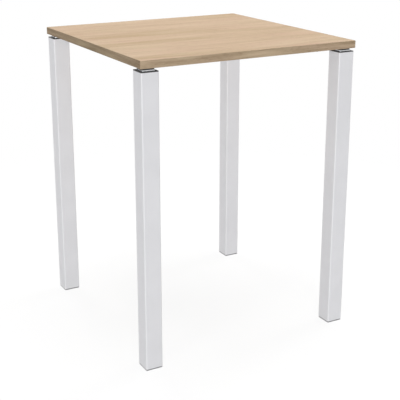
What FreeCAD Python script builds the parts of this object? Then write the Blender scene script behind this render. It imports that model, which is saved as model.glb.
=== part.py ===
import FreeCAD, Part

import math
import os

from FreeCAD import Vector

# High square table: a board with banded edges on four separate square legs.
# Lengths are in millimetres. The origin is on the floor under the middle of the top, and +Z is up.

# Table top
TABLE_HEIGHT = 1030.0
TOP_WIDTH = 800.0
TOP_DEPTH = 800.0
TOP_THICKNESS = 25.0
EDGE_BAND_THICKNESS = 2.0
TOP_EDGE_RADIUS = 1.5

# Leg tube, set back from the edges of the top
LEG_SIDE = 60.0
LEG_WALL = 2.0
LEG_CORNER_RADIUS = 4.0
LEG_SETBACK = 3.0

# Leg head: nut plate welded in the tube, black cap on its end, bright spacer on the cap
NUT_PLATE_THICKNESS = 8.0
NUT_PLATE_CLEARANCE = 0.1
CAP_THICKNESS = 2.5
CAP_EDGE_RADIUS = 0.5
SPACER_THICKNESS = 4.0
SPACER_SETBACK = 8.0
SPACER_CORNER_RADIUS = 3.0
SPACER_CHAMFER = 0.4

# Mounting plate: a square under the board with a tongue that reaches out over the spacer
PLATE_THICKNESS = 6.0
PLATE_SIDE = 110.0
PLATE_SETBACK = 30.0
PLATE_CORNER_RADIUS = 8.0
TONGUE_MARGIN = 2.0
SCREW_EDGE_DISTANCE = 12.0

# Leg bolts, a countersunk pair on the leg's diagonal
LEG_BOLT_DIAMETER = 8.0
LEG_BOLT_HEAD_DIAMETER = 16.0
LEG_BOLT_LENGTH = 25.0
LEG_BOLT_SPACING = 24.0
LEG_BOLT_KEY = 5.0
LEG_BOLT_KEY_DEPTH = 3.0
HEAD_SINK = 0.3
HEAD_CLEARANCE = 0.1

# Plate screws with button heads, and the threaded inserts that take them
PLATE_SCREW_DIAMETER = 6.0
PLATE_SCREW_HEAD_DIAMETER = 10.5
PLATE_SCREW_HEAD_HEIGHT = 3.3
PLATE_SCREW_LENGTH = 16.0
PLATE_SCREW_KEY = 4.0
PLATE_SCREW_KEY_DEPTH = 2.0
INSERT_DIAMETER = 10.0
INSERT_LENGTH = 13.0
INSERT_CLEARANCE = 0.05
INSERT_HOLE_SPARE = 2.0

# Holes for bolts and threads, as clearance on the radius
BOLT_HOLE_CLEARANCE = 0.4
THREAD_CLEARANCE = 0.05

# Foot pad with its square guide and the socket that holds the stem's collar
PAD_INSET = 1.0
PAD_THICKNESS = 4.0
PAD_CORNER_RADIUS = 3.0
PAD_EDGE_RADIUS = 0.8
PAD_FLOOR = 3.0
FOOT_GAP = 0.3
FOOT_TRAVEL = 12.0
GUIDE_OVERLAP = 4.0
GUIDE_HEADROOM = 4.0
GUIDE_CLEARANCE = 0.2
GUIDE_WALL = 2.5
GUIDE_CORNER_RADIUS = 2.0
SOCKET_CLEARANCE = 0.2
SOCKET_PLAY = 0.1
SOCKET_WALL = 3.0
SOCKET_LIP = 2.5
SOCKET_SLOT = 2.0
KEY_HOLE_DIAMETER = 7.0

# Levelling stem and its nut
STEM_DIAMETER = 10.0
STEM_COLLAR_DIAMETER = 16.0
STEM_COLLAR_THICKNESS = 4.5
STEM_END = 2.0
STEM_CHAMFER = 1.0
STEM_KEY = 5.0
STEM_KEY_DEPTH = 4.0
STEM_HOLE_CLEARANCE = 0.5
NUT_ACROSS_FLATS = 16.0
NUT_HEIGHT = 8.0
NUT_CLEARANCE = 0.1

# Plastic plug in the bottom end of the leg tube
PLUG_CLEARANCE = 0.1
PLUG_WALL = 4.7
PLUG_ROOF = 8.0

# Levels from the top down
underside_z = TABLE_HEIGHT - TOP_THICKNESS
plate_z = underside_z - PLATE_THICKNESS
spacer_z = plate_z - SPACER_THICKNESS
cap_z = spacer_z - CAP_THICKNESS
nut_plate_z = cap_z - NUT_PLATE_THICKNESS

# Levels from the floor up
tube_z = PAD_THICKNESS + FOOT_GAP
guide_top_z = tube_z + FOOT_TRAVEL + GUIDE_OVERLAP
nut_z = guide_top_z + GUIDE_HEADROOM
nut_top_z = nut_z + NUT_HEIGHT
plug_top_z = nut_top_z + PLUG_ROOF
collar_z = PAD_FLOOR + SOCKET_PLAY
socket_top_z = collar_z + STEM_COLLAR_THICKNESS + SOCKET_PLAY

# Widths that follow from the leg
tube_bore = LEG_SIDE - 2 * LEG_WALL
bore_corner_radius = max(LEG_CORNER_RADIUS - LEG_WALL, 0.5)
spacer_side = LEG_SIDE - 2 * SPACER_SETBACK
tongue_side = spacer_side - 2 * TONGUE_MARGIN
plug_side = tube_bore - 2 * PLUG_CLEARANCE
plug_bore = plug_side - 2 * PLUG_WALL
guide_side = plug_bore - 2 * GUIDE_CLEARANCE

# Places on the leg's own axes, which start at the leg's centre and point inwards
leg_inset = LEG_SETBACK + LEG_SIDE / 2
plate_low = PLATE_SETBACK - leg_inset
plate_high = plate_low + PLATE_SIDE
bolt_offset = LEG_BOLT_SPACING / 2 / math.sqrt(2)
bolt_places = [(-bolt_offset, -bolt_offset), (bolt_offset, bolt_offset)]
screw_low = plate_low + SCREW_EDGE_DISTANCE
screw_high = plate_high - SCREW_EDGE_DISTANCE
screw_middle = (plate_low + plate_high) / 2
screw_places = [
    (screw_high, screw_high),
    (screw_high, screw_low),
    (screw_low, screw_high),
    (screw_middle, screw_middle),
]

# Each leg: its name, its centre, and the turn that points its own axes inwards
leg_x = TOP_WIDTH / 2 - leg_inset
leg_y = TOP_DEPTH / 2 - leg_inset
LEGS = [
    ("front_left", -leg_x, -leg_y, 0),
    ("front_right", leg_x, -leg_y, 90),
    ("rear_right", leg_x, leg_y, 180),
    ("rear_left", -leg_x, leg_y, 270),
]


def upright_edges(shape):
    """The straight edges that run along Z."""
    return [edge for edge in shape.Edges if edge.BoundBox.ZLength > 0.9 * edge.Length]


def level_edges(shape, z):
    """The edges that lie in the level plane at z."""
    return [edge for edge in shape.Edges if abs(edge.BoundBox.ZMin - z) + abs(edge.BoundBox.ZMax - z) < 1e-4]


def square_block(side, z, height, corner_radius):
    """A square block on the Z axis with its upright edges rounded."""
    block = Part.makeBox(side, side, height, Vector(-side / 2, -side / 2, z))
    return block.makeFillet(corner_radius, upright_edges(block))


def rod(radius, z, height, place=(0, 0)):
    """An upright cylinder."""
    return Part.makeCylinder(radius, height, Vector(place[0], place[1], z))


def hex_prism(across_flats, z, height, place=(0, 0)):
    """An upright hexagonal prism with flats that face along Y."""
    corner = across_flats / math.sqrt(3)
    angles = [math.radians(60 * step) for step in range(7)]
    points = [
        Vector(place[0] + corner * math.cos(angle), place[1] + corner * math.sin(angle), z)
        for angle in angles
    ]
    return Part.Face(Part.makePolygon(points)).extrude(Vector(0, 0, height))


def place_at_leg(shape, x, y, turn):
    """A copy of a shape made about the Z axis, turned and moved to a leg's centre."""
    placed = shape.copy()
    placed.rotate(Vector(0, 0, 0), Vector(0, 0, 1), turn)
    placed.translate(Vector(x, y, 0))
    return placed


def leg_tube():
    """Square steel tube, open at both ends."""
    length = cap_z - tube_z
    outside = square_block(LEG_SIDE, tube_z, length, LEG_CORNER_RADIUS)
    return outside.cut(square_block(tube_bore, tube_z, length, bore_corner_radius))


def nut_plate():
    """Threaded plate that closes the top end of the tube."""
    side = tube_bore - 2 * NUT_PLATE_CLEARANCE
    plate = square_block(side, nut_plate_z, NUT_PLATE_THICKNESS, bore_corner_radius)
    thread_radius = LEG_BOLT_DIAMETER / 2 + THREAD_CLEARANCE
    return plate.cut([rod(thread_radius, nut_plate_z, NUT_PLATE_THICKNESS, place) for place in bolt_places])


def leg_cap():
    """Black cap as wide as the leg, on the end of the tube."""
    cap = square_block(LEG_SIDE, cap_z, CAP_THICKNESS, LEG_CORNER_RADIUS)
    cap = cap.makeFillet(CAP_EDGE_RADIUS, level_edges(cap, spacer_z))
    hole_radius = LEG_BOLT_DIAMETER / 2 + BOLT_HOLE_CLEARANCE
    return cap.cut([rod(hole_radius, cap_z, CAP_THICKNESS, place) for place in bolt_places])


def leg_spacer():
    """Bright spacer between the cap and the mounting plate."""
    spacer = square_block(spacer_side, spacer_z, SPACER_THICKNESS, SPACER_CORNER_RADIUS)
    rims = level_edges(spacer, spacer_z) + level_edges(spacer, plate_z)
    spacer = spacer.makeChamfer(SPACER_CHAMFER, rims)
    hole_radius = LEG_BOLT_DIAMETER / 2 + BOLT_HOLE_CLEARANCE
    return spacer.cut([rod(hole_radius, spacer_z, SPACER_THICKNESS, place) for place in bolt_places])


def countersink(place, clearance):
    """The cone of a leg bolt's head, with its wide end just under the board."""
    head_radius = LEG_BOLT_HEAD_DIAMETER / 2
    head_height = head_radius - LEG_BOLT_DIAMETER / 2
    bottom = Vector(place[0], place[1], underside_z - HEAD_SINK - head_height)
    return Part.makeCone(LEG_BOLT_DIAMETER / 2 + clearance, head_radius + clearance, head_height, bottom)


def mounting_plate():
    """Steel plate under the board, with countersunk holes over the leg and screw holes further in."""
    plate = square_block(PLATE_SIDE, plate_z, PLATE_THICKNESS, PLATE_CORNER_RADIUS)
    middle = (plate_low + plate_high) / 2
    plate.translate(Vector(middle, middle, 0))
    tongue = square_block(tongue_side, plate_z, PLATE_THICKNESS, SPACER_CORNER_RADIUS)
    plate = plate.fuse(tongue).removeSplitter()
    cuts = []
    for place in bolt_places:
        cuts.append(rod(LEG_BOLT_DIAMETER / 2 + BOLT_HOLE_CLEARANCE, plate_z, PLATE_THICKNESS, place))
        cuts.append(countersink(place, HEAD_CLEARANCE))
        cuts.append(rod(LEG_BOLT_HEAD_DIAMETER / 2 + HEAD_CLEARANCE, underside_z - HEAD_SINK, HEAD_SINK, place))
    for place in screw_places:
        cuts.append(rod(PLATE_SCREW_DIAMETER / 2 + BOLT_HOLE_CLEARANCE, plate_z, PLATE_THICKNESS, place))
    return plate.cut(cuts)


def leg_bolts():
    """The two countersunk bolts of a leg, each with a hexagon socket."""
    head_z = underside_z - HEAD_SINK
    bolts = []
    for place in bolt_places:
        bolt = rod(LEG_BOLT_DIAMETER / 2, head_z - LEG_BOLT_LENGTH, LEG_BOLT_LENGTH, place)
        bolt = bolt.fuse(countersink(place, 0)).removeSplitter()
        bolts.append(bolt.cut(hex_prism(LEG_BOLT_KEY, head_z - LEG_BOLT_KEY_DEPTH, LEG_BOLT_KEY_DEPTH, place)))
    return Part.makeCompound(bolts)


def plate_screw():
    """One button-head screw on the Z axis, with its head against the underside of the plate."""
    radius = PLATE_SCREW_HEAD_DIAMETER / 2
    height = PLATE_SCREW_HEAD_HEIGHT
    crown_radius = (radius**2 + height**2) / (2 * height)
    rim = Vector(radius, 0, plate_z)
    crown = Vector(0, 0, plate_z - height)
    crown_centre_z = crown.z + crown_radius
    half_angle = math.asin(radius / crown_radius) / 2
    between = Vector(
        crown_radius * math.sin(half_angle), 0, crown_centre_z - crown_radius * math.cos(half_angle)
    )
    centre = Vector(0, 0, plate_z)
    outline = [
        Part.LineSegment(centre, rim).toShape(),
        Part.Arc(rim, between, crown).toShape(),
        Part.LineSegment(crown, centre).toShape(),
    ]
    head = Part.Face(Part.Wire(outline)).revolve(Vector(0, 0, 0), Vector(0, 0, 1), 360)
    screw = head.fuse(rod(PLATE_SCREW_DIAMETER / 2, plate_z, PLATE_SCREW_LENGTH)).removeSplitter()
    return screw.cut(hex_prism(PLATE_SCREW_KEY, plate_z - height, PLATE_SCREW_KEY_DEPTH))


def plate_screws():
    """The four screws of a mounting plate."""
    screw = plate_screw()
    return Part.makeCompound([screw.translated(Vector(x, y, 0)) for x, y in screw_places])


def screw_inserts():
    """The four threaded inserts over a mounting plate, flush with the underside of the board."""
    inserts = []
    for place in screw_places:
        sleeve = rod(INSERT_DIAMETER / 2, underside_z, INSERT_LENGTH, place)
        thread = rod(PLATE_SCREW_DIAMETER / 2 + THREAD_CLEARANCE, underside_z, INSERT_LENGTH, place)
        inserts.append(sleeve.cut(thread))
    return Part.makeCompound(inserts)


def insert_holes():
    """The blind holes in the board for one leg's inserts."""
    radius = INSERT_DIAMETER / 2 + INSERT_CLEARANCE
    depth = INSERT_LENGTH + INSERT_HOLE_SPARE
    return Part.makeCompound([rod(radius, underside_z, depth, place) for place in screw_places])


def foot_plug():
    """Plastic plug in the bottom of the tube: a square guide below, a nut pocket above."""
    plug = square_block(plug_side, tube_z, plug_top_z - tube_z, bore_corner_radius)
    guide = square_block(plug_bore, tube_z, nut_z - tube_z, GUIDE_CORNER_RADIUS)
    pocket = hex_prism(NUT_ACROSS_FLATS + 2 * NUT_CLEARANCE, nut_z, NUT_HEIGHT)
    stem_hole = rod(STEM_DIAMETER / 2 + STEM_HOLE_CLEARANCE, nut_top_z, PLUG_ROOF)
    return plug.cut([guide, pocket, stem_hole])


def foot_nut():
    """Hexagon nut, seated against the roof of the plug's pocket."""
    thread = rod(STEM_DIAMETER / 2 + THREAD_CLEARANCE, nut_z, NUT_HEIGHT)
    return hex_prism(NUT_ACROSS_FLATS, nut_z, NUT_HEIGHT).cut(thread)


def foot_stem():
    """Levelling stem: a threaded rod with a collar at its foot and a key socket under it."""
    top = nut_top_z + FOOT_TRAVEL + STEM_END
    shank = rod(STEM_DIAMETER / 2, collar_z, top - collar_z)
    shank = shank.makeChamfer(STEM_CHAMFER, level_edges(shank, top))
    stem = shank.fuse(rod(STEM_COLLAR_DIAMETER / 2, collar_z, STEM_COLLAR_THICKNESS)).removeSplitter()
    return stem.cut(hex_prism(STEM_KEY, collar_z, STEM_KEY_DEPTH))


def foot_pad():
    """Grey square pad with a guide that slides in the plug and a slotted socket for the collar."""
    base = square_block(LEG_SIDE - 2 * PAD_INSET, 0, PAD_THICKNESS, PAD_CORNER_RADIUS)
    base = base.makeFillet(PAD_EDGE_RADIUS, level_edges(base, 0) + level_edges(base, PAD_THICKNESS))
    guide_height = guide_top_z - PAD_THICKNESS
    guide = square_block(guide_side, PAD_THICKNESS, guide_height, GUIDE_CORNER_RADIUS)
    hollow_radius = max(GUIDE_CORNER_RADIUS - GUIDE_WALL, 0.5)
    guide = guide.cut(square_block(guide_side - 2 * GUIDE_WALL, PAD_THICKNESS, guide_height, hollow_radius))
    cavity_radius = STEM_COLLAR_DIAMETER / 2 + SOCKET_CLEARANCE
    rim_z = socket_top_z + SOCKET_LIP
    boss_radius = cavity_radius + SOCKET_WALL
    boss = rod(boss_radius, PAD_THICKNESS, rim_z - PAD_THICKNESS)
    pad = base.fuse([guide, boss]).removeSplitter()
    cuts = [
        rod(cavity_radius, PAD_FLOOR, socket_top_z - PAD_FLOOR),
        rod(STEM_DIAMETER / 2 + STEM_HOLE_CLEARANCE, socket_top_z, SOCKET_LIP),
        rod(KEY_HOLE_DIAMETER / 2, 0, PAD_FLOOR),
    ]
    for size_x, size_y in ((2 * boss_radius, SOCKET_SLOT), (SOCKET_SLOT, 2 * boss_radius)):
        corner = Vector(-size_x / 2, -size_y / 2, PAD_THICKNESS)
        cuts.append(Part.makeBox(size_x, size_y, rim_z - PAD_THICKNESS, corner))
    return pad.cut(cuts)


def table_top():
    """The board and its four edge bands, cut from one block with rounded edges."""
    half_x = TOP_WIDTH / 2
    half_y = TOP_DEPTH / 2
    core_x = half_x - EDGE_BAND_THICKNESS
    core_y = half_y - EDGE_BAND_THICKNESS
    block = Part.makeBox(TOP_WIDTH, TOP_DEPTH, TOP_THICKNESS, Vector(-half_x, -half_y, underside_z))
    block = block.makeFillet(TOP_EDGE_RADIUS, block.Edges)
    spans = {
        "tabletop_board": (-core_x, core_x, -core_y, core_y),
        "edge_band_front": (-half_x, half_x, -half_y, -core_y),
        "edge_band_rear": (-half_x, half_x, core_y, half_y),
        "edge_band_left": (-half_x, -core_x, -core_y, core_y),
        "edge_band_right": (core_x, half_x, -core_y, core_y),
    }
    pieces = {}
    for name, (x_low, x_high, y_low, y_high) in spans.items():
        corner = Vector(x_low, y_low, underside_z)
        pieces[name] = block.common(Part.makeBox(x_high - x_low, y_high - y_low, TOP_THICKNESS, corner))
    holes = [place_at_leg(insert_holes(), x, y, turn) for _, x, y, turn in LEGS]
    pieces["tabletop_board"] = pieces["tabletop_board"].cut(holes)
    return pieces


LEG_PIECES = {
    "leg_tube": leg_tube,
    "nut_plate": nut_plate,
    "leg_cap": leg_cap,
    "leg_spacer": leg_spacer,
    "mounting_plate": mounting_plate,
    "leg_bolts": leg_bolts,
    "plate_screws": plate_screws,
    "screw_inserts": screw_inserts,
    "foot_plug": foot_plug,
    "foot_nut": foot_nut,
    "foot_stem": foot_stem,
    "foot_pad": foot_pad,
}


def build():
    """Every piece of the table, by name."""
    pieces = table_top()
    for piece_name, make in LEG_PIECES.items():
        shape = make()
        for leg_name, x, y, turn in LEGS:
            pieces[f"{piece_name}_{leg_name}"] = place_at_leg(shape, x, y, turn)
    return pieces


os.makedirs("parts", exist_ok=True)
for node, shape in build().items():
    shape.exportStep(f"parts/{node}.step")
    print(node, len(shape.Solids), "solids", round(shape.Volume / 1000, 2), "cm3", shape.isValid())
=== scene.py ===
"""Finishes, studio and camera for the high table.

The frame gives every piece in metres, in the table's own axes: X along the front edge of the top, -Y to the
front and +Z up. Each sub-assembly dresses its own pieces, and the studio sets the floor, the soft lights and
the camera.
"""
import logging
import math
from abc import ABC, abstractmethod
from dataclasses import dataclass, field
from enum import Enum

import bpy
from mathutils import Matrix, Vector


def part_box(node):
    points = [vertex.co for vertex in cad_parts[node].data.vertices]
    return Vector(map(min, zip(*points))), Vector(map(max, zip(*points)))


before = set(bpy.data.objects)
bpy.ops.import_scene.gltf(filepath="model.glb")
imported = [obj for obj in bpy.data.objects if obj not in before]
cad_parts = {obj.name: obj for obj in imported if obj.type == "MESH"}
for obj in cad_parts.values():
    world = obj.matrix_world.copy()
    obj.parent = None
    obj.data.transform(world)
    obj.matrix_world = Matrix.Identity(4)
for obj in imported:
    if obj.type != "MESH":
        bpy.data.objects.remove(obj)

log = logging.getLogger("high_table")

Colour = tuple[float, float, float]
Point = tuple[float, float, float]
Range = tuple[float, float]
Socket = bpy.types.NodeSocket

MM_PER_METRE = 1000.0
WHITE = (1.0, 1.0, 1.0, 1.0)
ORIGIN: Point = (0.0, 0.0, 0.0)
WHOLE: Range = (0.0, 1.0)

# Where most of a noise level lies.
MID_NOISE: Range = (0.35, 0.65)

# A screen's tone curve: a straight foot, and a power above it.
TOP_LEVEL = 255
CURVE_FOOT = 0.04045
CURVE_SLOPE = 12.92
CURVE_OFFSET = 0.055
CURVE_POWER = 2.4

# A Mix node's colour sockets come after its sockets for numbers and vectors.
MIX_FIRST = 6
MIX_SECOND = 7
MIX_RESULT = 2


class GrainRun(Enum):
    """The way the wood grain runs, as the turn about Z that brings it onto X."""

    ALONG_X = 0.0
    ALONG_Y = math.pi / 2


class Corner(Enum):
    """The four legs, by the corner of the top that each one carries."""

    FRONT_LEFT = "front_left"
    FRONT_RIGHT = "front_right"
    REAR_RIGHT = "rear_right"
    REAR_LEFT = "rear_left"


def linear(level: int) -> float:
    """Turn one screen level into linear light.

    Args:
        level: The level, 0 to 255.

    Returns:
        The light, 0 to 1.
    """
    share = level / TOP_LEVEL
    if share <= CURVE_FOOT:
        return share / CURVE_SLOPE
    return ((share + CURVE_OFFSET) / (1.0 + CURVE_OFFSET)) ** CURVE_POWER


def srgb(red: int, green: int, blue: int) -> Colour:
    """Turn a screen colour, with levels of 0 to 255, into the linear colour that a shader takes."""
    return (linear(red), linear(green), linear(blue))


def rgba(colour: Colour, scale: float = 1.0) -> tuple[float, float, float, float]:
    """Add full opacity to a colour.

    Args:
        colour: The linear colour.
        scale: How much lighter or darker it becomes.

    Returns:
        The colour with its opacity.
    """
    return (*(min(1.0, level * scale) for level in colour), 1.0)


def set_up(name: str, device: bpy.types.ID, place: Point, aim: Point) -> bpy.types.Object:
    """Stand a lamp or a camera in the studio and point it at something.

    Args:
        name: Its name in the studio.
        device: The lamp or the camera.
        place: Where it stands.
        aim: What it looks at.

    Returns:
        The object that holds it.
    """
    holder = bpy.data.objects.new(name, device)
    holder.location = place
    holder.rotation_euler = (Vector(aim) - Vector(place)).to_track_quat("-Z", "Y").to_euler()
    bpy.context.scene.collection.objects.link(holder)
    log.info("%s stands at %s", name, place)
    return holder


class NodeSheet:
    """The node sheet of a material or a world, with short calls that add and join nodes."""

    def __init__(self, tree: bpy.types.NodeTree) -> None:
        """Work on a node tree.

        Args:
            tree: The material's or the world's own tree.
        """
        self.nodes = tree.nodes
        self.links = tree.links

    def feed(self, node: bpy.types.Node, inputs: dict[int | str, object]) -> None:
        """Join sockets to a node's inputs, and set the inputs that are plain values.

        Args:
            node: The node to feed.
            inputs: Sockets or values, by input name or number.
        """
        for key, value in inputs.items():
            if isinstance(value, Socket):
                self.links.new(value, node.inputs[key])
            else:
                node.inputs[key].default_value = value

    def add(
        self, kind: str, inputs: dict[int | str, object], output: int | str = 0, **settings: object
    ) -> Socket:
        """Add a node and feed it.

        Args:
            kind: Blender's name for the node type.
            inputs: Sockets or values, by input name or number.
            output: The output to hand back.
            **settings: Node settings, such as its operation.

        Returns:
            The chosen output socket.
        """
        node = self.nodes.new(kind)
        for name, value in settings.items():
            setattr(node, name, value)
        self.feed(node, inputs)
        return node.outputs[output]

    def span(self, value: Socket, start: Range, end: Range) -> Socket:
        """Map a level from one range to another, clamped at both ends.

        Args:
            value: The level to map.
            start: The range that comes in.
            end: The range that goes out.

        Returns:
            The mapped level.
        """
        ends = {"From Min": start[0], "From Max": start[1], "To Min": end[0], "To Max": end[1]}
        return self.add("ShaderNodeMapRange", {"Value": value, **ends})

    def math(self, operation: str, first: Socket | float, second: Socket | float) -> Socket:
        """Add one step of arithmetic on two levels.

        Args:
            operation: Blender's name for the operation.
            first: A socket or a number.
            second: A socket or a number.

        Returns:
            The result.
        """
        return self.add("ShaderNodeMath", {0: first, 1: second}, operation=operation)

    def seen_by_eye(self) -> Socket:
        """Tell whether a ray shows the surface to the eye, straight, in a reflection or through glass.

        Returns:
            1 for camera, glossy and transmission rays, 0 for the rest.
        """
        path = self.nodes.new("ShaderNodeLightPath").outputs
        seen = self.math("MAXIMUM", path["Is Camera Ray"], path["Is Glossy Ray"])
        return self.math("MAXIMUM", seen, path["Is Transmission Ray"])


class ShaderSheet(NodeSheet):
    """A new material's node sheet, with calls for its patterns and its relief."""

    def __init__(self, name: str) -> None:
        """Start a material that holds only its surface shader.

        Args:
            name: The material's name.
        """
        self.material = bpy.data.materials.new(name)
        self.material.use_nodes = True
        super().__init__(self.material.node_tree)
        self.surface = self.nodes["Principled BSDF"]

    def place(self, turn: float = 0.0, shift: Point = ORIGIN) -> Socket:
        """Give the surface point in the piece's own axes, in metres.

        Args:
            turn: Turn about Z, in radians.
            shift: Offset, so that two pieces don't show the same figure.

        Returns:
            The point's socket.
        """
        point = self.add("ShaderNodeTexCoord", {}, output="Object")
        inputs = {"Vector": point, "Location": shift, "Rotation": (0.0, 0.0, turn)}
        return self.add("ShaderNodeMapping", inputs)

    def noise(self, place: Socket, per_metre: Point, detail: float = 2.0) -> Socket:
        """Add noise with its own number of waves per metre along each axis.

        Args:
            place: The surface point.
            per_metre: Waves per metre along X, Y and Z.
            detail: How many finer layers ride on the first.

        Returns:
            The noise level, mostly between 0.3 and 0.7.
        """
        scaled = self.add("ShaderNodeVectorMath", {0: place, 1: per_metre}, operation="MULTIPLY")
        return self.add("ShaderNodeTexNoise", {"Vector": scaled, "Scale": 1.0, "Detail": detail})

    def blend(self, shares: list[tuple[Socket, float]]) -> Socket:
        """Add several levels up, each by its share.

        Args:
            shares: Each level with its share of the sum.

        Returns:
            The sum.
        """
        total, share = shares[0]
        total = self.math("MULTIPLY", total, share)
        for level, share in shares[1:]:
            total = self.add("ShaderNodeMath", {0: level, 1: share, 2: total}, operation="MULTIPLY_ADD")
        return total

    def mix(self, factor: Socket, first: object, second: object) -> Socket:
        """Mix two colours.

        Args:
            factor: 0 for the first colour, 1 for the second.
            first: A socket or a colour with its opacity.
            second: A socket or a colour with its opacity.

        Returns:
            The mixed colour.
        """
        inputs = {0: factor, MIX_FIRST: first, MIX_SECOND: second}
        return self.add("ShaderNodeMix", inputs, output=MIX_RESULT, data_type="RGBA")

    def bump(self, height: Socket, depth: float, strength: float) -> None:
        """Give the surface a fine relief.

        Args:
            height: The relief, 0 to 1.
            depth: Its real depth in metres.
            strength: How much of it shows, 0 to 1.
        """
        relief = {"Height": height, "Distance": depth, "Strength": strength}
        self.feed(self.surface, {"Normal": self.add("ShaderNodeBump", relief)})


class Finish(ABC):
    """What a piece wears. Each kind of finish builds its own material."""

    name: str

    @abstractmethod
    def material(self) -> bpy.types.Material:
        """Build the finish and hand back its new material."""


@dataclass(frozen=True)
class GrainLayer:
    """One layer of wood figure: how wide its streaks are and how long they run, in metres."""

    width: float
    length: float
    detail: float = 2.0

    def draw(self, sheet: ShaderSheet, place: Socket) -> Socket:
        """Draw the layer on a material.

        Args:
            sheet: The material's node sheet.
            place: The surface point, with the grain along X.

        Returns:
            The layer's level.
        """
        across = 1.0 / self.width
        return sheet.noise(place, (1.0 / self.length, across, across), self.detail)


@dataclass(frozen=True)
class OakTones:
    """The colours of one oak decor."""

    pale: Colour
    middle: Colour
    deep: Colour
    blush: Colour
    pore: Colour


@dataclass(frozen=True)
class OakFinish(Finish):
    """Pale oak decor under a matt wear layer: bands, streaks, fibres, pores, rays and pinkish patches."""

    name: str
    tones: OakTones
    grain: GrainRun = GrainRun.ALONG_X
    shift: Point = ORIGIN
    roughness: float = 0.75
    roughness_swing: float = 0.06
    gloss: float = 0.12
    sway: Point = (0.0, 0.022, 0.0)
    sway_per_metre: float = 2.6
    bands: GrainLayer = GrainLayer(width=0.07, length=0.6, detail=3.0)
    streaks: GrainLayer = GrainLayer(width=0.01, length=0.22, detail=4.0)
    fibres: GrainLayer = GrainLayer(width=0.0012, length=0.09)
    pores: GrainLayer = GrainLayer(width=0.0008, length=0.016, detail=1.0)
    rays: GrainLayer = GrainLayer(width=0.0022, length=0.03, detail=1.0)
    patches: GrainLayer = GrainLayer(width=0.07, length=0.32)
    band_share: float = 0.5
    streak_share: float = 0.36
    fibre_share: float = 0.14
    deep_range: Range = (0.36, 0.5)
    pale_range: Range = (0.5, 0.64)
    ray_range: Range = (0.62, 0.72)
    ray_strength: float = 0.35
    pore_range: Range = (0.58, 0.7)
    pore_streaks: Range = (0.62, 0.42)
    pore_strength: Range = (0.12, 0.6)
    fibre_relief: float = 0.36
    relief_depth: float = 0.0002
    relief_strength: float = 0.35

    def material(self) -> bpy.types.Material:
        """Build the finish.

        Returns:
            The new material.
        """
        sheet = ShaderSheet(self.name)
        place = self.swayed(sheet)
        streaks = self.streaks.draw(sheet, place)
        fibres = self.fibres.draw(sheet, place)
        figure = sheet.blend(
            [
                (self.bands.draw(sheet, place), self.band_share),
                (streaks, self.streak_share),
                (fibres, self.fibre_share),
            ]
        )
        pores = sheet.span(self.pores.draw(sheet, place), self.pore_range, WHOLE)
        pores = sheet.math("MULTIPLY", pores, sheet.span(streaks, self.pore_streaks, self.pore_strength))
        colour = sheet.mix(pores, self.ground(sheet, place, figure), rgba(self.tones.pore))
        swing = (self.roughness + self.roughness_swing, self.roughness - self.roughness_swing)
        shine = sheet.span(figure, MID_NOISE, swing)
        inputs = {"Base Color": colour, "Roughness": shine, "Specular IOR Level": self.gloss}
        sheet.feed(sheet.surface, inputs)
        relief = sheet.math("SUBTRACT", sheet.math("MULTIPLY", fibres, self.fibre_relief), pores)
        sheet.bump(relief, self.relief_depth, self.relief_strength)
        return sheet.material

    def swayed(self, sheet: ShaderSheet) -> Socket:
        """Give the surface point with the grain along X and swaying gently from side to side.

        Args:
            sheet: The material's node sheet.

        Returns:
            The swayed point.
        """
        straight = sheet.place(self.grain.value, self.shift)
        drift = sheet.add(
            "ShaderNodeTexNoise", {"Vector": straight, "Scale": self.sway_per_metre}, output="Color"
        )
        inputs = {0: drift, 1: self.sway, 2: straight}
        return sheet.add("ShaderNodeVectorMath", inputs, operation="MULTIPLY_ADD")

    def ground(self, sheet: ShaderSheet, place: Socket, figure: Socket) -> Socket:
        """Colour the wood between its pores.

        Args:
            sheet: The material's node sheet.
            place: The swayed surface point.
            figure: The level of the figure, low where the wood is deep in tone.

        Returns:
            The colour.
        """
        patches = sheet.span(self.patches.draw(sheet, place), MID_NOISE, WHOLE)
        middle = sheet.mix(patches, rgba(self.tones.middle), rgba(self.tones.blush))
        deep = sheet.span(figure, self.deep_range, WHOLE)
        colour = sheet.mix(deep, rgba(self.tones.deep), middle)
        colour = sheet.mix(sheet.span(figure, self.pale_range, WHOLE), colour, rgba(self.tones.pale))
        rays = sheet.span(self.rays.draw(sheet, place), self.ray_range, (0.0, self.ray_strength))
        return sheet.mix(rays, colour, rgba(self.tones.pale))


@dataclass(frozen=True)
class SkinFinish(Finish):
    """An even coloured skin with a fine relief, such as baked powder coat or moulded plastic."""

    name: str
    colour: Colour
    roughness: float
    grain_size: float
    grain_depth: float
    gloss: float = 0.5
    grain_detail: float = 3.0
    grain_strength: float = 0.5
    roughness_swing: float = 0.05
    cloud_size: float = 0.09
    cloud_shade: float = 0.97

    def material(self) -> bpy.types.Material:
        """Build the finish.

        Returns:
            The new material.
        """
        sheet = ShaderSheet(self.name)
        place = sheet.place()
        grain = sheet.noise(place, (1.0 / self.grain_size,) * 3, self.grain_detail)
        cloud = sheet.span(sheet.noise(place, (1.0 / self.cloud_size,) * 3), MID_NOISE, WHOLE)
        colour = sheet.mix(cloud, rgba(self.colour), rgba(self.colour, self.cloud_shade))
        swing = (self.roughness - self.roughness_swing, self.roughness + self.roughness_swing)
        shine = sheet.span(grain, MID_NOISE, swing)
        inputs = {"Base Color": colour, "Roughness": shine, "Specular IOR Level": self.gloss}
        sheet.feed(sheet.surface, inputs)
        sheet.bump(grain, self.grain_depth, self.grain_strength)
        return sheet.material


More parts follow.
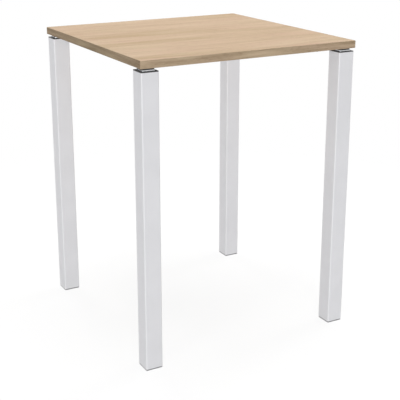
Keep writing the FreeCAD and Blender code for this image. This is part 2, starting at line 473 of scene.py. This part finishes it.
@dataclass(frozen=True)
class MetalFinish(Finish):
    """Bare or plated metal with level drawn lines or a plated mottle."""

    name: str
    colour: Colour
    roughness: float
    line_width: float
    line_length: float
    line_detail: float = 3.0
    line_depth: float = 0.00001
    line_strength: float = 0.4
    line_shade: float = 0.88
    roughness_swing: float = 0.07

    def material(self) -> bpy.types.Material:
        """Build the finish.

        Returns:
            The new material.
        """
        sheet = ShaderSheet(self.name)
        along = 1.0 / self.line_length
        lines = sheet.noise(sheet.place(), (along, along, 1.0 / self.line_width), self.line_detail)
        level = sheet.span(lines, MID_NOISE, WHOLE)
        colour = sheet.mix(level, rgba(self.colour), rgba(self.colour, self.line_shade))
        swing = (self.roughness - self.roughness_swing, self.roughness + self.roughness_swing)
        shine = sheet.span(lines, MID_NOISE, swing)
        sheet.feed(sheet.surface, {"Base Color": colour, "Roughness": shine, "Metallic": 1.0})
        sheet.bump(lines, self.line_depth, self.line_strength)
        return sheet.material


OAK_FACE = OakFinish(
    name="oak_face",
    tones=OakTones(
        pale=srgb(226, 202, 172),
        middle=srgb(216, 191, 159),
        deep=srgb(204, 176, 143),
        blush=srgb(219, 189, 162),
        pore=srgb(162, 131, 101),
    ),
)
OAK_LONG_EDGE = OakFinish(
    name="oak_long_edge",
    tones=OakTones(
        pale=srgb(194, 173, 145),
        middle=srgb(177, 157, 130),
        deep=srgb(155, 135, 109),
        blush=srgb(178, 155, 131),
        pore=srgb(115, 91, 69),
    ),
    shift=(0.31, 0.17, 0.0),
    band_share=0.25,
    streak_share=0.55,
    fibre_share=0.2,
    fibre_relief=0.55,
)
# The end bands take the long bands' decor in darker tones: painted shade on the left and right sides of the
# top.
OAK_END_EDGE_PAINTED_SHADE = OakFinish(
    name="oak_end_edge_painted_shade",
    tones=OakTones(
        pale=srgb(174, 156, 128),
        middle=srgb(156, 138, 113),
        deep=srgb(133, 116, 92),
        blush=srgb(158, 137, 114),
        pore=srgb(98, 80, 60),
    ),
    grain=GrainRun.ALONG_Y,
    shift=(0.13, 0.41, 0.0),
    band_share=0.25,
    streak_share=0.55,
    fibre_share=0.2,
    fibre_relief=0.55,
)
WHITE_COAT = SkinFinish(
    name="white_powder_coat",
    colour=srgb(225, 225, 228),
    roughness=0.4,
    grain_size=0.0016,
    grain_depth=0.000025,
    gloss=0.75,
)
BLACK_COAT = SkinFinish(
    name="black_powder_coat", colour=srgb(34, 34, 35), roughness=0.5, grain_size=0.001, grain_depth=0.00005
)
CAP_BLACK = SkinFinish(
    name="cap_black", colour=srgb(26, 26, 27), roughness=0.48, grain_size=0.0007, grain_depth=0.00005
)
PLUG_BLACK = SkinFinish(
    name="plug_black", colour=srgb(34, 34, 36), roughness=0.55, grain_size=0.0007, grain_depth=0.00005
)
FOOT_GREY = SkinFinish(
    name="foot_grey", colour=srgb(108, 108, 110), roughness=0.52, grain_size=0.0008, grain_depth=0.00006
)
BRIGHT_ALUMINIUM = MetalFinish(
    name="bright_aluminium", colour=srgb(232, 233, 236), roughness=0.2, line_width=0.0003, line_length=0.03
)
BARE_STEEL = MetalFinish(
    name="bare_steel", colour=srgb(150, 150, 152), roughness=0.42, line_width=0.004, line_length=0.006
)
ZINC_PLATE = MetalFinish(
    name="zinc_plate", colour=srgb(200, 202, 206), roughness=0.3, line_width=0.0016, line_length=0.002
)


class FinishStore:
    """Builds each finish once and lends it to every piece that wears it."""

    def __init__(self) -> None:
        """Start with no material built."""
        self.materials: dict[str, bpy.types.Material] = {}

    def dress(self, node: str, finish: Finish) -> None:
        """Give a piece its finish.

        Args:
            node: The piece's name in the frame.
            finish: What it wears.
        """
        if finish.name not in self.materials:
            self.materials[finish.name] = finish.material()
        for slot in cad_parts[node].material_slots:
            slot.material = self.materials[finish.name]
        low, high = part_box(node)
        size = " x ".join(f"{MM_PER_METRE * (b - a):.1f}" for a, b in zip(low, high))
        log.info("%s wears %s, %s mm", node, finish.name, size)


@dataclass
class TableTop:
    """The board and the bands on its four sides."""

    store: FinishStore
    face: Finish = OAK_FACE
    long_edge: Finish = OAK_LONG_EDGE
    # The end bands' finish darkens them as painted shade.
    end_edge_painted_shade: Finish = OAK_END_EDGE_PAINTED_SHADE

    def dress(self) -> None:
        """Dress the board, and give each band the grain of its own side, with darker tones of painted shade
        on the end bands.
        """
        self.store.dress("tabletop_board", self.face)
        for side in ("front", "rear"):
            self.store.dress(f"edge_band_{side}", self.long_edge)
        for side in ("left", "right"):
            self.store.dress(f"edge_band_{side}", self.end_edge_painted_shade)


@dataclass
class CornerPieces:
    """The pieces of one sub-assembly at one corner of the table, each with what it wears."""

    store: FinishStore
    corner: Corner
    finishes: dict[str, Finish]

    def dress(self) -> None:
        """Dress every piece at this corner."""
        for piece, finish in self.finishes.items():
            self.store.dress(f"{piece}_{self.corner.value}", finish)


@dataclass
class Leg(CornerPieces):
    """One leg with its head, its mounting plate and its fasteners."""

    finishes: dict[str, Finish] = field(
        default_factory=lambda: {
            "leg_tube": WHITE_COAT,
            "nut_plate": BARE_STEEL,
            "leg_cap": CAP_BLACK,
            "leg_spacer": BRIGHT_ALUMINIUM,
            "mounting_plate": BLACK_COAT,
            "leg_bolts": ZINC_PLATE,
            "plate_screws": ZINC_PLATE,
            "screw_inserts": ZINC_PLATE,
        }
    )


@dataclass
class Foot(CornerPieces):
    """One levelling foot: the plug in the leg, its nut, the stem and the pad."""

    finishes: dict[str, Finish] = field(
        default_factory=lambda: {
            "foot_plug": PLUG_BLACK,
            "foot_nut": ZINC_PLATE,
            "foot_stem": ZINC_PLATE,
            "foot_pad": FOOT_GREY,
        }
    )


@dataclass(frozen=True)
class SoftLight:
    """A square softbox."""

    name: str
    place: Point
    aim: Point
    side: float
    power: float

    def build(self) -> None:
        """Hang the softbox and point it."""
        lamp = bpy.data.lights.new(self.name, "AREA")
        lamp.shape = "SQUARE"
        lamp.size = self.side
        lamp.energy = self.power
        set_up(self.name, lamp, self.place, self.aim)


@dataclass(frozen=True)
class PhotoCamera:
    """The photograph's viewpoint, matched to the corners of the top and the feet."""

    place: Point = (-1.573, -2.881, 1.527)
    aim: Point = (0.018, -0.010, 0.520)
    lens: float = 84.0
    sensor: float = 36.0
    shift_up: float = -0.07

    def build(self) -> None:
        """Set up the camera and make it the scene's own."""
        camera = bpy.data.cameras.new("photo_camera")
        camera.sensor_width = self.sensor
        camera.lens = self.lens
        camera.shift_y = self.shift_up
        bpy.context.scene.camera = set_up("photo_camera", camera, self.place, self.aim)


@dataclass
class Studio:
    """White floor and backdrop, soft lights and the camera.

    Light falls on a floor of floor_colour. The eye sees white paper in its place, which takes the shadow near
    the table. Its clear share is paper_clear there, and grows over the distances of paper_fade until none of
    it shows.
    """

    floor_half: float = 12.0
    floor_drop: float = 0.0002
    floor_colour: float = 0.55
    paper_colour: float = 0.9
    paper_glow: float = 0.31
    paper_clear: float = 0.74
    paper_fade: Range = (0.9, 2.2)
    sky_level: float = 0.24
    lights: tuple[SoftLight, ...] = (
        SoftLight("front_key", (-8.4, -23.2, 2.9), (0.0, 0.0, 0.6), side=5.4, power=2520.0),
        SoftLight("left_key", (-21.8, -11.6, 2.9), (0.0, 0.0, 0.6), side=5.4, power=1855.0),
        SoftLight("top_light", (0.4, 0.0, 8.0), (0.0, 0.0, 1.0), side=6.0, power=300.0),
        SoftLight("rear_fill", (-0.4, 9.8, 2.7), (0.0, 0.0, 0.7), side=3.4, power=317.0),
        SoftLight("right_fill", (9.4, 1.6, 2.8), (0.0, 0.0, 0.7), side=3.4, power=339.0),
    )
    camera: PhotoCamera = PhotoCamera()

    def build(self) -> None:
        """Build the whole studio."""
        self.build_sky()
        self.build_floor()
        for light in self.lights:
            light.build()
        self.camera.build()

    def build_sky(self) -> None:
        """Light the table evenly from all round, and show plain white where a ray sees past it."""
        world = bpy.data.worlds.new("studio_sky")
        world.use_nodes = True
        bpy.context.scene.world = world
        sheet = NodeSheet(world.node_tree)
        level = sheet.span(sheet.seen_by_eye(), WHOLE, (self.sky_level, 1.0))
        sheet.feed(sheet.nodes["Background"], {"Color": WHITE, "Strength": level})

    def build_floor(self) -> None:
        """Lay a white floor that takes the table's shadow and melts into the backdrop."""
        half = self.floor_half
        corners = [(-half, -half), (half, -half), (half, half), (-half, half)]
        mesh = bpy.data.meshes.new("studio_floor")
        mesh.from_pydata([(x, y, -self.floor_drop) for x, y in corners], [], [(0, 1, 2, 3)])
        mesh.materials.append(self.floor_material())
        floor = bpy.data.objects.new("studio_floor", mesh)
        bpy.context.scene.collection.objects.link(floor)
        log.info("studio_floor reaches %s m each way", half)

    def floor_material(self) -> bpy.types.Material:
        """Make the floor's white: solid to the light, and clearer to the eye further away from the table.

        From below it is clear to both, so a foot that is screwed down past it still shows.

        Returns:
            The floor's material.
        """
        sheet = ShaderSheet("studio_white")
        solid = sheet.add("ShaderNodeBsdfDiffuse", {"Color": rgba((self.floor_colour,) * 3)})
        lit = sheet.add("ShaderNodeBsdfDiffuse", {"Color": rgba((self.paper_colour,) * 3)})
        glow = sheet.add("ShaderNodeEmission", {"Color": WHITE, "Strength": self.paper_glow})
        paper = sheet.add("ShaderNodeAddShader", {0: lit, 1: glow})
        clear = sheet.add("ShaderNodeBsdfTransparent", {"Color": WHITE})
        reach = sheet.add("ShaderNodeVectorMath", {0: sheet.place()}, output="Value", operation="LENGTH")
        fade = sheet.span(reach, self.paper_fade, (self.paper_clear, 1.0))
        shown = sheet.add("ShaderNodeMixShader", {0: fade, 1: paper, 2: clear})
        above = sheet.add("ShaderNodeMixShader", {0: sheet.seen_by_eye(), 1: solid, 2: shown})
        below = sheet.add("ShaderNodeNewGeometry", {}, output="Backfacing")
        result = sheet.add("ShaderNodeMixShader", {0: below, 1: above, 2: clear})
        sheet.nodes.remove(sheet.surface)
        sheet.feed(sheet.nodes["Material Output"], {"Surface": result})
        return sheet.material


def main() -> None:
    """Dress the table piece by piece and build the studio."""
    logging.basicConfig(level=logging.INFO, format="%(message)s")
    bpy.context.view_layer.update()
    bpy.context.scene.view_settings.view_transform = "Standard"
    store = FinishStore()
    TableTop(store).dress()
    for corner in Corner:
        Leg(store, corner).dress()
        Foot(store, corner).dress()
    Studio().build()


if __name__ == "__main__":
    main()
